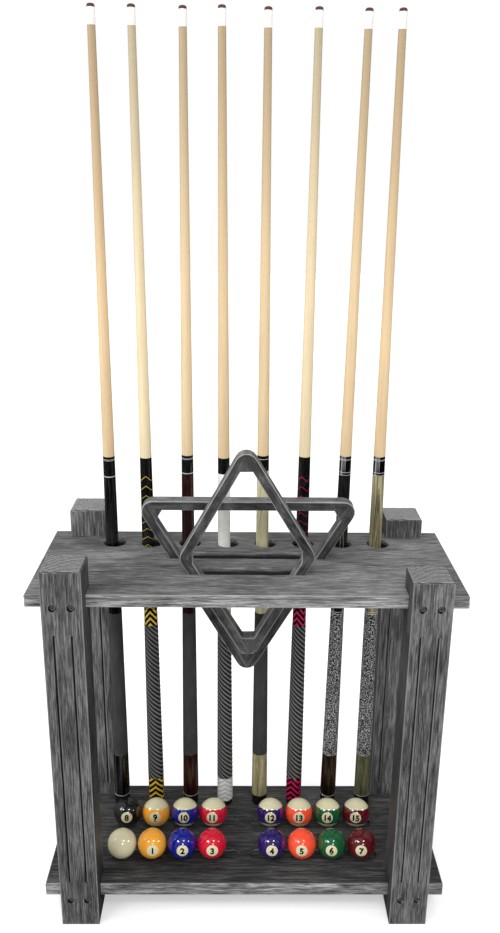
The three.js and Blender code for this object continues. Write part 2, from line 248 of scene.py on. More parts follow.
def end_rings(look, axis, middle):
    """Growth rings across a cut end, about a heart that lies outside the board."""
    across = drawn_out(look, look.vector("SUBTRACT", look.place, tuple(middle)), axis, 0.0)
    wander = look.noise(look.place, 45.0, 3.0, 0.6)
    reach = look.vector("LENGTH", look.vector("SUBTRACT", across, HEART))
    reach = look.math("MULTIPLY_ADD", wander, 0.006, reach)
    wave = look.math("SINE", look.times(reach, 2 * math.pi / RING_SPACING))
    return look.math("MULTIPLY_ADD", wave, 0.17, 0.5)


LIGHTEST_STAIN = 215


def stained(look, tone, tones, lift=1.0):
    """The dark, middle and light grey levels of a stain laid over a tone, all lightened by a factor."""
    dark, plain, light = (grey(min(level * lift, LIGHTEST_STAIN)) for level in tones)
    return look.ramp(tone, (0.41, dark), (0.5, plain), (0.59, light))


def painted_hollow_shade(look, colour, depth, tones, sunk, lit_wall_share):
    """The colour with painted shade in its hollows, between the sunk depths. A share of that shade is taken
    back on the walls that face left, which get painted light instead."""
    shade_in_hollows = look.rise(depth, *sunk)
    if lit_wall_share:
        leftward = look.times(look.parts(look.facing)[0], -1.0)
        lit = look.times(look.rise(leftward, 0.1, 0.5), shade_in_hollows)
        pale = look.times(lit, lit_wall_share)
        colour = look.mix(pale, colour, grey(tones[2] * 1.2))
        shade_in_hollows = look.math("SUBTRACT", shade_in_hollows, pale)
    return look.mix(look.times(shade_in_hollows, 0.95), colour, grey(tones[0] * 0.3))


def grey_wood(name, axis, middle, half, tones, *, ends, sunk, shift, front=1.0, side=1.0, lit_wall_share=0.0):
    """Grey stained and brushed wood with its grain along an axis. tones are the grey levels of its dark,
    middle and light streaks. ends, front and side are factors on the grey of its cut ends, its front and
    back, and its left and right faces. sunk holds the depths between which its hollows get painted shade,
    and lit_wall_share the share of that which walls facing left give back as painted light. shift moves the
    grain, so boards differ."""
    look = Look(name, Specular_IOR_Level=0.3)
    streaks, fibres, figure, clouds = brushed_grain(look, axis, shift)
    tone = look.blend((streaks, 0.2), (fibres, 0.5), (figure, 0.12), (clouds, 0.18))
    colour = stained(look, tone, tones)
    # Whole faces lightened or darkened by which way they face: painted light and shade.
    facing = look.parts(look.vector("ABSOLUTE", look.facing))
    for part, lift in ((facing[0], side), (facing[1], front)):
        if lift != 1.0:
            colour = look.mix(look.rise(part, 0.6, 0.8), colour, stained(look, tone, tones, lift))
    rings = look.blend((end_rings(look, axis, middle), 0.6), (fibres, 0.4))
    colour = look.mix(look.rise(facing[axis], 0.6, 0.8), colour, stained(look, rings, tones, ends))
    pores = look.noise(drawn_out(look, look.place, axis, 0.07, shift), 480.0, 2.0, 0.5)
    pores = look.rise(pores, 0.6, 0.68)
    colour = look.mix(look.times(pores, 0.45), colour, grey(tones[0] * 0.6))
    to_edge, depth = edge_distance(look, middle, half)
    # Edges lightened, partly wear and partly painted highlight.
    ragged = look.math("MULTIPLY_ADD", fibres, 0.004, to_edge)
    edge_wear_and_highlight = look.rise(ragged, 0.0045, 0.0025)
    colour = look.mix(look.times(edge_wear_and_highlight, 0.4), colour, grey(min(tones[2] * 1.25, 190)))
    # Painted shade in grooves, holes and cuts, with painted light on their walls that face left.
    colour = painted_hollow_shade(look, colour, depth, tones, sunk, lit_wall_share)
    look.bump(look.math("MULTIPLY_ADD", pores, -0.25, tone), 0.0016, 0.7)
    return look.done(colour, look.scaled(tone, 0.38, 0.72))


def beyond_rails(look, from_middle, normals):
    """How far out a point lies, by the rail that it is furthest beyond."""
    reaches = [look.vector("DOT_PRODUCT", from_middle, normal) for normal in normals]
    furthest = reaches[0]
    for reach in reaches[1:]:
        furthest = look.math("MAXIMUM", furthest, reach)
    return furthest


def rail_wood(name, middle, normals):
    """Smooth grey wood of a racking frame, with its grain following the rails round the middle. Its narrow
    faces are lighter than its broad ones as painted light, and its eased edges are lightened, partly wear
    and partly painted highlight.
    """
    look = Look(name, Coat_Weight=0.25, Coat_Roughness=0.2, Specular_IOR_Level=0.35)
    from_middle = look.vector("SUBTRACT", look.place, tuple(middle))
    outward = beyond_rails(look, from_middle, normals)
    x, y, z = look.parts(from_middle)
    turn_x, turn_y, turn_z = look.parts(look.vector("NORMALIZE", look.joined(x, 0.0, z)))
    along, through = 0.02, 0.7
    grain_place = look.joined(
        look.times(turn_x, along),
        look.math("MULTIPLY_ADD", y, through, outward),
        look.blend((y, through), (turn_z, along)),
    )
    streaks = look.noise(grain_place, 220.0, 5.0, 0.62, 0.3)
    mottle = look.noise(from_middle, 700.0, 3.0, 0.7)
    cloud = look.noise(from_middle, 40.0, 3.0, 0.5)
    tone = look.blend((streaks, 0.35), (mottle, 0.4), (cloud, 0.25))
    slope = look.math("ABSOLUTE", look.parts(look.facing)[1])
    # The broad front and back faces take the darker ramp and the narrow faces the lighter one: painted shade
    # and painted light.
    face = look.ramp(tone, (0.4, grey(30)), (0.5, grey(60)), (0.6, grey(96)))
    rim = look.ramp(tone, (0.4, grey(62)), (0.5, grey(103)), (0.6, grey(146)))
    colour = look.mix(look.rise(slope, 0.6, 0.8), rim, face)
    # The eased edges lightened, partly wear and partly painted highlight.
    eased = look.times(look.rise(slope, 0.2, 0.5), look.rise(slope, 0.98, 0.8))
    edge_wear_and_highlight = look.times(eased, look.scaled(mottle, 0.3, 1.0))
    colour = look.mix(edge_wear_and_highlight, colour, grey(160))
    look.bump(tone, 0.0006, 0.5)
    return look.done(colour, look.scaled(tone, 0.3, 0.55))


# ---------------- metal, lacquer, rubber and wraps


def metal(name, level, roughness):
    look = Look(name, Metallic=0.35)
    scuffs = look.noise(look.place, 900.0, 4.0, 0.7)
    stains = look.noise(look.place, 140.0, 3.0, 0.5)
    colour = look.ramp(stains, (0.3, grey(level * 0.75)), (0.7, grey(level)))
    look.bump(scuffs, 0.0001, 0.3)
    return look.done(colour, look.scaled(scuffs, roughness * 0.7, roughness * 1.4))


def along_cue(look, share):
    return drawn_out(look, look.place, 2, share)


def gloss(name, dark, light, streak, roughness=0.16, between=(0.36, 0.64)):
    """A lacquered turning: streaks along it under a clear coat, dark to light between two noise levels."""
    look = Look(name, Coat_Weight=0.5, Coat_Roughness=0.04, Specular_IOR_Level=0.4)
    streaks = look.noise(along_cue(look, streak), 240.0, 4.0, 0.6, 0.4)
    scuffs = look.noise(look.place, 700.0, 3.0, 0.6)
    look.bump(streaks, 0.0001, 0.25)
    return look.done(
        look.ramp(streaks, (between[0], dark), (between[1], light)),
        look.scaled(scuffs, roughness * 0.6, roughness * 1.5),
    )


def figured(name, dark, plain, light, scale=150.0):
    """Lacquered wood of a cue, with long figured grain."""
    look = Look(name, Coat_Weight=0.4, Coat_Roughness=0.05, Specular_IOR_Level=0.4)
    grain = look.noise(along_cue(look, 0.05), scale, 5.0, 0.65, 0.8)
    pores = look.noise(along_cue(look, 0.03), 1400.0, 2.0, 0.6)
    tone = look.blend((grain, 0.65), (pores, 0.35))
    look.bump(tone, 0.0002, 0.3)
    return look.done(
        look.ramp(tone, (0.38, dark), (0.5, plain), (0.62, light)),
        look.scaled(pores, 0.16, 0.4),
    )


MAPLE_WARMTH = (0.0, 1.0, 0.35, 0.15, 0.25, 0.9, 0.2, 0.1)
COOL_MAPLE = (208, 181, 142)
WARM_MAPLE = (218, 201, 166)


def maple(number):
    """Pale shaft wood, darker towards the tip with painted shade. Each shaft is its own piece of maple."""
    warmth = MAPLE_WARMTH[number - 1]
    plain = [cool + (warm - cool) * warmth for cool, warm in zip(COOL_MAPLE, WARM_MAPLE)]

    def shade(share):
        return srgb(*(min(part * share, 252) for part in plain))

    look = Look(f"maple_{number}", Coat_Weight=0.15, Coat_Roughness=0.2, Specular_IOR_Level=0.3)
    shift = (0.37 * number, 0.11 * number, 0.0)
    grain = look.noise(look.stretched(look.place, (1.0, 1.0, 0.03), shift), 260.0, 5.0, 0.6, 0.5)
    ticks = look.noise(look.stretched(look.place, (1.0, 1.0, 0.12), shift), 1500.0, 2.0, 0.6)
    bands = look.noise(look.stretched(look.place, (0.3, 0.3, 1.0), shift), 5.0, 2.0, 0.5)
    tone = look.blend((grain, 0.5), (ticks, 0.25), (bands, 0.25))
    colour = look.ramp(tone, (0.38, shade(0.95)), (0.5, shade(1.0)), (0.62, shade(1.03)))
    # Painted shade, darker up towards the tip.
    painted_tip_shade = look.rise(look.parts(look.place)[2], 1.0, 1.5)
    look.bump(tone, 0.0001, 0.25)
    return look.done(look.mix(painted_tip_shade, colour, shade(0.78)), look.scaled(ticks, 0.28, 0.5))


def ferrule_white():
    look = Look("ferrule_white", Coat_Weight=0.4, Coat_Roughness=0.1)
    haze = look.noise(look.place, 300.0, 3.0, 0.5)
    return look.done(
        look.ramp(haze, (0.3, srgb(222, 220, 212)), (0.7, srgb(243, 242, 238))),
        look.scaled(haze, 0.2, 0.4),
    )


def tip_leather():
    look = Look("tip_leather")
    pressed = look.noise(look.place, 1400.0, 4.0, 0.7)
    layers = look.noise(look.stretched(look.place, (0.1, 0.1, 1.0)), 1300.0, 2.0, 0.5)
    tone = look.blend((layers, 0.4), (pressed, 0.6))
    look.bump(pressed, 0.0003, 0.8)
    return look.done(
        look.ramp(tone, (0.35, srgb(52, 30, 24)), (0.65, srgb(112, 70, 56))),
        look.scaled(pressed, 0.65, 0.95),
    )


def bumper_rubber():
    look = Look("bumper_rubber", Specular_IOR_Level=0.2)
    pitted = look.noise(look.place, 900.0, 3.0, 0.6)
    look.bump(pitted, 0.0002, 0.5)
    return look.done(
        look.ramp(pitted, (0.35, grey(11.2)), (0.65, grey(20.8))),
        look.scaled(pitted, 0.35, 0.6),
    )


def smooth_wrap():
    """A smooth dark grey sleeve, pressed with a fine leather grain."""
    look = Look("smooth_wrap", Specular_IOR_Level=0.2)
    pebbles = look.noise(look.place, 800.0, 3.0, 0.65)
    wear = look.noise(along_cue(look, 0.3), 60.0, 3.0, 0.5)
    tone = look.blend((wear, 0.4), (pebbles, 0.6))
    look.bump(pebbles, 0.00025, 0.6)
    return look.done(look.ramp(tone, (0.38, grey(43)), (0.62, grey(66))), look.scaled(pebbles, 0.55, 0.85))


RIBS = 9
RIB_PITCH = 0.0102
RIB_TWIST = 2 * math.pi / (RIBS * RIB_PITCH)


def ribbed_grip():
    """Black rubber, with painted shade between the ribs and a painted highlight along their crests."""
    look = Look("ribbed_grip", Specular_IOR_Level=0.6)
    pitted = look.noise(look.place, 1200.0, 3.0, 0.7)
    x, y, z = look.parts(look.place)
    # Painted shade in the rib valleys and painted highlight on the crests, following the ribs' twist.
    turned = look.math("MULTIPLY_ADD", z, RIB_TWIST, look.math("ARCTAN2", y, x))
    rib_light_and_shade = look.math("ABSOLUTE", look.math("SINE", look.times(turned, RIBS / 2)))
    rib_light_and_shade = look.math("MULTIPLY_ADD", pitted, 0.3, rib_light_and_shade)
    look.bump(pitted, 0.0002, 0.5)
    return look.done(
        look.ramp(rib_light_and_shade, (0.45, grey(6)), (0.85, grey(36)), (1.1, grey(112))),
        look.scaled(pitted, 0.24, 0.42),
    )


THREAD_PITCH = 0.0007


def linen_wrap():
    """Speckled linen: dark and pale threads wound side by side."""
    look = Look("linen_wrap")
    flecks = look.noise(along_cue(look, 1.2), 430.0, 2.0, 0.7)
    x, y, z = look.parts(look.place)
    threads = look.math("SINE", look.times(z, 2 * math.pi / THREAD_PITCH))
    look.bump(look.math("MULTIPLY_ADD", threads, 0.3, flecks), 0.0003, 0.5)
    return look.done(
        look.ramp(flecks, (0.46, grey(8)), (0.52, grey(42)), (0.59, grey(190))),
        look.scaled(flecks, 0.7, 0.9),
    )


CROWD_BELOW = 0.6885
CROWDING = 0.138


def angle_round(look, x, y):
    """The angle round a cue, 0 at its front."""
    return look.math("ARCTAN2", x, look.times(y, -1.0))


def wave_height(look, repeats, drop, turn):
    """Height up a cue, plus a zigzag round it: constant along an upward chevron. It climbs faster low on
    the cue, which crowds the lower chevrons together."""
    x, y, z = look.parts(look.place)
    share = look.math("MULTIPLY_ADD", angle_round(look, x, y), repeats / (2 * math.pi), turn)
    zigzag = look.math("PINGPONG", share, 0.5)
    below = look.math("MINIMUM", look.math("SUBTRACT", z, CROWD_BELOW), 0.0)
    crowded = look.times(below, CROWDING)
    return look.math("ADD", look.math("MULTIPLY_ADD", zigzag, 2 * drop, z), crowded)


def chevron_gloss(name, colour, ground, pitch, line, drop=0.0155, turn=0.0, phase=0.0):
    """Glossy ground with three chevrons round it in each row. pitch is from row to row, line a line's
    height, drop how far a chevron falls from its point, and phase a shift, all in metres."""
    look = Look(name, Coat_Weight=0.4, Coat_Roughness=0.06, Specular_IOR_Level=0.4)
    height = look.math("ADD", wave_height(look, 3, drop, turn), phase)
    step = look.math("FRACT", look.math("DIVIDE", height, pitch))
    share = line / pitch
    blur = 0.0003 / pitch
    inside = look.times(look.rise(step, 0.0, blur), look.rise(step, share, share - blur))
    haze = look.noise(look.place, 500.0, 3.0, 0.6)
    shade = look.mix(look.scaled(haze, 0.0, 0.3), colour, darker(colour, 0.55))
    base = look.mix(look.scaled(haze, 0.0, 0.35), ground, darker(ground, 0.6))
    look.bump(look.math("MULTIPLY_ADD", haze, 0.2, inside), 0.00008, 0.4)
    return look.done(look.mix(inside, base, shade), look.scaled(haze, 0.15, 0.32))


def pearl():
    look = Look("pearl", Coat_Weight=0.5, Coat_Roughness=0.06)
    cloud = look.noise(look.place, 130.0, 3.0, 0.6, 1.2)
    flakes = look.noise(look.place, 900.0, 2.0, 0.6)
    tone = look.blend((flakes, 0.4), (cloud, 0.6))
    return look.done(
        look.ramp(tone, (0.36, srgb(236, 236, 230)), (0.6, srgb(254, 254, 251))),
        look.scaled(flakes, 0.16, 0.36),
    )


def point_inlay(name, ground_dark, ground_light, veneers, base, tip, repeats, widest, spacing=0.0011):
    """Lacquered wood with pointed inlays that rise from base to tip. Each is outlined in thin veneers, given
    as (colour, thickness) from the outside in. widest is half an inlay's width at its base, as a share of
    the distance from one inlay to the next."""
    forearm_radius = 0.013
    soft = 0.0002
    look = Look(name, Coat_Weight=0.4, Coat_Roughness=0.05, Specular_IOR_Level=0.4)
    x, y, z = look.parts(look.place)
    grain = look.noise(along_cue(look, 0.05), 190.0, 5.0, 0.65, 0.7)
    colour = look.ramp(grain, (0.38, ground_dark), (0.62, ground_light))
    share = look.math("MULTIPLY_ADD", angle_round(look, x, y), repeats / (2 * math.pi), 0.5)
    across = look.math("ABSOLUTE", look.math("SUBTRACT", look.math("FRACT", share), 0.5))
    climb = look.math("DIVIDE", look.math("SUBTRACT", tip, z), tip - base)
    climb = look.math("MAXIMUM", climb, 0.0)
    edge = look.times(look.math("POWER", climb, 0.6), widest)
    repeat_width = 2 * math.pi * forearm_radius / repeats
    gap = look.times(look.math("SUBTRACT", edge, across), repeat_width)
    for index, (veneer, thick) in enumerate(veneers):
        start = index * spacing
        end = start + thick
        inside = look.times(look.rise(gap, start, start + soft), look.rise(gap, end, end - soft))
        colour = look.mix(inside, colour, veneer)
    scuffs = look.noise(look.place, 700.0, 3.0, 0.6)
    look.bump(grain, 0.0001, 0.25)
    return look.done(colour, look.scaled(scuffs, 0.14, 0.34))


# ---------------- mesh helpers


def piece(name, shape, look, body, place=None, stands_for=()):
    """A finished object from a bmesh, riding on its body."""
    bmesh.ops.recalc_face_normals(shape, faces=shape.faces)
    for face in shape.faces:
        face.smooth = True
    for edge in shape.edges:
        if edge.calc_face_angle(0.0) > SHARP_ANGLE:
            edge.smooth = False
    mesh = bpy.data.meshes.new(name)
    shape.to_mesh(mesh)
    shape.free()
    mesh.materials.append(look)
    made = bpy.data.objects.new(name, mesh)
    made.matrix_world = place or Matrix.Identity(4)
    put_in_scene(made)
    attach(made, body)
    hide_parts(*stands_for)
    return made


def turn_solid(shape, rings, segments=48, twist=0.0):
    """Adds a closed turned solid. A ring is (height, radius), and a radius may be a function of the angle.
    twist turns each ring by so many radians for each metre of height."""
    loops = []
    for height, radius in rings:
        loop = []
        for step in range(segments):
            angle = 2 * math.pi * step / segments
            reach = radius(angle) if callable(radius) else radius
            turned = angle + twist * height
            loop.append(shape.verts.new((reach * math.cos(turned), reach * math.sin(turned), height)))
        loops.append(loop)
    for below, above in zip(loops, loops[1:]):
        for step in range(segments):
            after = (step + 1) % segments
            shape.faces.new((below[step], below[after], above[after], above[step]))
    shape.faces.new(list(reversed(loops[0])))
    shape.faces.new(loops[-1])


def refined(name, node, look, body, ease=0.0008):
    """A CAD node's shape with its flat faces joined up and its sharp edges rounded."""
    shape = bmesh.new()
    shape.from_mesh(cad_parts[node].data)
    bmesh.ops.remove_doubles(shape, verts=shape.verts, dist=0.00001)
    bmesh.ops.dissolve_limit(shape, angle_limit=math.radians(1), verts=shape.verts, edges=shape.edges)
    sharp = [edge for edge in shape.edges if edge.calc_face_angle(0.0) > SHARP_ANGLE]
    bmesh.ops.bevel(
        shape, geom=sharp, offset=ease, offset_type="OFFSET", segments=2, profile=0.6,
        affect="EDGES", clamp_overlap=True,
    )
    made = piece(name, shape, look, body, stands_for=(node,))
    weighted = made.modifiers.new("weighted", "WEIGHTED_NORMAL")
    weighted.keep_sharp = True


# ---------------- rack


def build_posts():
    """Four posts. The rear ones are a little lighter as painted light, and all have painted shade on their
    left and right faces.
    """
    for number, name in enumerate(("front_left", "front_right", "rear_left", "rear_right")):
        node = f"post_{name}"
        middle, half = box_middle(node)
        # The rear posts' lighter tones are painted light.
        tones = (39, 80, 122) if middle.y < 0 else (45, 91, 138)
        # side puts painted shade on the left and right faces, and the grooves' left-facing walls get painted
        # light.
        look = grey_wood(
            f"wood_{node}", 2, middle, half, tones,
            ends=1.26, side=0.76, shift=(0.0, 0.0, 0.4 * number), sunk=(0.0003, 0.0014), lit_wall_share=0.85,
        )
        refined(f"{node}_wood", node, look, "rack")


def build_shelves():
    middle, half = box_middle("top_shelf")
    # The top shelf's lighter front and back are partly painted light, and its holes and cuts get painted
    # shade.
    look = grey_wood(
        "wood_top_shelf", 0, middle, half, (54, 98, 144),
        ends=1.2, front=1.22, shift=(0.2, 0.0, 0.3), sunk=(0.001, 0.01),
    )
    refined("top_shelf_wood", "top_shelf", look, "rack")
    middle, half = box_middle("bottom_shelf")
    # The bottom shelf's dark grey is partly painted shade from the shelf above. Its much lighter front, back
    # and ends are partly painted light, and its deeper cuts get painted shade.
    look = grey_wood(
        "wood_bottom_shelf", 0, middle, half, (25, 55, 92),
        ends=1.6, front=1.98, shift=(0.5, 0.2, 0.0), sunk=(0.006, 0.012),
    )
    refined("bottom_shelf_wood", "bottom_shelf", look, "rack")


def hex_radius(across_flats):
    """The radius of a hexagon at an angle."""

    def radius(angle):
        from_flat = (angle + math.pi / 6) % (math.pi / 3) - math.pi / 6
        return across_flats / 2 / math.cos(from_flat)

    return radius


def bolt_shape(head, length):
    """A socket head bolt, standing with its head's face at height 0. head is the head's radius."""
    shank = head * 0.577
    socket = head * 1.02
    chamfer = 0.0006
    shape = bmesh.new()
    turn_solid(shape, (
        (-length, head * 0.5),
        (-length + 0.001, shank),
        (-head, shank),
        (-head, head * 0.94),
        (-head + 0.0003, head),
        (-chamfer, head),
        (0.0, head * 0.88),
        (0.0, hex_radius(socket)),
        (-0.0026, hex_radius(head * 0.96)),
    ))
    return shape


def build_bolts():
    """The bolts lie along Y, each with its head towards the outer face of its post."""
    look = metal("bolt_steel", 118, 0.4)
    for node in sorted(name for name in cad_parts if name.startswith("bolt_")):
        middle, half = box_middle(node)
        outward = 1.0 if middle.y > 0 else -1.0
        place = Matrix.Translation((middle.x, middle.y + outward * half.y, middle.z))
        place = place @ Matrix.Rotation(-outward * math.pi / 2, 4, "X")
        shape = bolt_shape(half.x, 2 * half.y)
        piece(f"{node}_steel", shape, look, "rack", place, (node,))


def rail_normals(angles):
    """Outward directions in the upright plane, each at an angle above the X axis."""
    return [(math.cos(angle), 0.0, math.sin(angle)) for angle in angles]


def build_frames():
    """The triangle and the diamond, each with grain that follows its rails."""
    slant = math.radians(30)
    tilt = math.radians(1)
    ease = 0.0006
    middle, half = box_middle("triangle_rack")
    inner_radius = half.x / math.sqrt(3)
    centre = Vector((middle.x, middle.y, middle.z + half.z - inner_radius))
    look = rail_wood("wood_triangle", centre, rail_normals((math.pi / 2, math.pi + slant, -slant)))
    refined("triangle_wood", "triangle_rack", look, "triangle", ease)
    middle, half = box_middle("diamond_rack")
    turns = (slant, -slant, math.pi - slant, math.pi + slant)
    look = rail_wood("wood_diamond", middle, rail_normals(turn + tilt for turn in turns))
    refined("diamond_wood", "diamond_rack", look, "diamond", ease)


# ---------------- cues


JOINT = 0.764
JOINT_DROPS = (0.002, 0.004, 0.0, 0.003, 0.0, 0.001, 0.0, 0.0)
PIN_RADIUS = 0.004
BUTT_BASE = 0.0159
JOINT_RADIUS = 0.0106
END_SEGMENTS = 40
PLAIN_FOOT, GRIP_LOW, GRIP_TOP = 0.024, 0.124, 0.446


def corners(node):
    return [vertex.co.copy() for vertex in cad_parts[node].data.vertices]


class Cue:
    """Where one cue stands: its own frame, with z up the cue from its foot, and its radius at each height."""

    def __init__(self, number):
        self.number = number
        self.body = f"cue_{number}"
        butt = corners(f"cue_{number}_butt")
        shaft = corners(f"cue_{number}_shaft")
        top = max(shaft, key=lambda corner: corner.z)
        lowest = min(corner.z for corner in butt)
        base = {tuple(round(part, 6) for part in corner) for corner in butt if corner.z < lowest + 0.0012}
        foot = sum((Vector(corner) for corner in base), Vector()) / len(base)
        axis = (top - foot).normalized()
        foot += axis * min((corner - foot).dot(axis) for corner in butt)
        self.top = (top - foot).length
        lean = Vector((0, 0, 1)).rotation_difference(axis)
        self.place = Matrix.Translation(foot) @ lean.to_matrix().to_4x4()
        self.butt = self.profile(butt, foot, axis)
        self.shaft = self.profile(shaft, foot, axis)
        self.joint = JOINT - JOINT_DROPS[number - 1]

    @staticmethod
    def profile(points, foot, axis):
        """The widest radius at each height that has corners, without the joint's pin and its hole."""
        widest = {}
        for point in points:
            reach = (point - foot).dot(axis)
            height = round(reach, 4)
            radius = (point - foot - axis * reach).length
            if radius > PIN_RADIUS * 1.2:
                widest[height] = max(widest.get(height, 0.0), radius)
        return sorted(widest.items())

    @staticmethod
    def between(profile, height):
        """The radius at a height, between the nearest heights with corners."""
        below = [row for row in profile if row[0] <= height] or [profile[0]]
        above = [row for row in profile if row[0] >= height] or [profile[-1]]
        (low, low_radius), (high, high_radius) = below[-1], above[0]
        share = 0.0 if high == low else (height - low) / (high - low)
        return low_radius + (high_radius - low_radius) * share


def butt_radius(height):
    """The butt's plain taper, from its foot to the joint."""
    return BUTT_BASE + (JOINT_RADIUS - BUTT_BASE) * height / JOINT


def butt_piece(cue, name, shape, look):
    node = f"{cue.body}_butt"
    piece(f"{cue.body}_{name}", shape, look, cue.body, cue.place, (node,))


def band(cue, name, look, low, high, extra=0.0, ease=0.0003):
    """A turned length of the butt, with both of its rims eased. It stands out by extra."""
    middle = (low + high) / 2
    low_radius = butt_radius(low) + extra
    high_radius = butt_radius(high) + extra
    shape = bmesh.new()
    turn_solid(shape, (
        (low, low_radius - ease),
        (low + ease, low_radius),
        (middle, butt_radius(middle) + extra),
        (high - ease, high_radius),
        (high, high_radius - ease),
    ))
    butt_piece(cue, name, shape, look)


def trim_rings(cue, look, levels):
    """Thin metal rings let into the butt, all one piece. levels are (height, width)."""
    proud, ease = 0.00012, 0.0002
    shape = bmesh.new()
    for height, width in levels:
        low = butt_radius(height) + proud
        high = butt_radius(height + width) + proud
        turn_solid(shape, (
            (height, low - ease),
            (height + width * 0.2, low),
            (height + width * 0.8, high),
            (height + width, high - ease),
        ))
    butt_piece(cue, "rings", shape, look)


def bumper(cue, look, top):
    """The rubber bumper, with a rounded foot and an eased rim."""
    radius = cue.between(cue.butt, top / 2)
    shape = bmesh.new()
    turn_solid(shape, (
        (0.0, radius * 0.35),
        (0.0, radius * 0.8),
        (0.0007, radius * 0.92),
        (0.002, radius * 0.99),
        (top * 0.25, radius),
        (top * 0.9, radius),
        (top, radius - 0.0003),
    ))
    butt_piece(cue, "bumper", shape, look)


def rib_outline(middle, depth):
    """The radius round a ribbed ring, at an angle."""

    def radius(angle):
        return middle + depth * (abs(math.sin(RIBS * angle / 2)) * 1.6 - 1.0)

    return radius


def ribbed(cue, look, low, high):
    """A grip with rounded ribs that wind steeply down it to the right, and fade out at its ends."""
    depth, fade_length, proud = 0.0005, 0.004, 0.0003
    steps = 90
    segments_per_rib = 8
    rings = []
    for step in range(steps + 1):
        height = low + (high - low) * step / steps
        fade = min(1.0, min(height - low, high - height) / fade_length)
        rings.append((height, rib_outline(butt_radius(height) + proud, depth * fade)))
    shape = bmesh.new()
    turn_solid(shape, rings, RIBS * segments_per_rib, -RIB_TWIST)
    butt_piece(cue, "grip", shape, look)


def shaft_piece(cue, name, shape, look):
    piece(f"{cue.body}_{name}", shape, look, cue.body, cue.place, (f"{cue.body}_shaft",))


def build_shaft(cue, ferrule_look, tip_look):
    """The shaft wood, its ferrule and its domed tip, all on the CAD shaft's outline."""
    tip_height, ferrule_height = 0.006, 0.025
    tip_base = cue.top - tip_height
    ferrule_base = tip_base - ferrule_height
    shaft_piece(cue, "shaft_wood", shaft_shape(cue, cue.joint + 0.0003, ferrule_base), maple(cue.number))
    radius = cue.between(cue.shaft, ferrule_base + ferrule_height / 2)
    ferrule = bmesh.new()
    turn_solid(ferrule, (
        (ferrule_base, radius - 0.0001),
        (ferrule_base + 0.0002, radius),
        (tip_base - 0.0002, radius),
        (tip_base, radius - 0.0001),
    ), END_SEGMENTS)
    shaft_piece(cue, "ferrule", ferrule, ferrule_look)
    shaft_piece(cue, "tip", tip_shape(tip_base, tip_height, radius), tip_look)


def shaft_shape(cue, foot, top):
    """The wood between the butt and the ferrule, with an eased rim at its foot."""
    steps, ease = 24, 0.0004
    lowest_known = JOINT + 0.0006
    heights = [foot + (top - foot) * step / steps for step in range(steps + 1)]
    rings = [(height, cue.between(cue.shaft, max(height, lowest_known))) for height in heights]
    radius = rings[0][1]
    rings[:1] = [(foot, radius - ease), (foot + ease, radius)]
    shape = bmesh.new()
    turn_solid(shape, rings)
    return shape


def tip_shape(base, height, radius):
    """A leather tip: a straight side under a dome that stays a little below the CAD's."""
    steps = 8
    side = height * 0.45
    rise = height - side - 0.0003
    rings = [(base, radius - 0.0002), (base + 0.0003, radius + 0.00005)]
    for step in range(steps + 1):
        angle = math.pi / 2 * step / steps
        rings.append((base + side + rise * math.sin(angle), (radius - 0.0001) * math.cos(angle * 0.97)))
    shape = bmesh.new()
    turn_solid(shape, rings, END_SEGMENTS)
    return shape


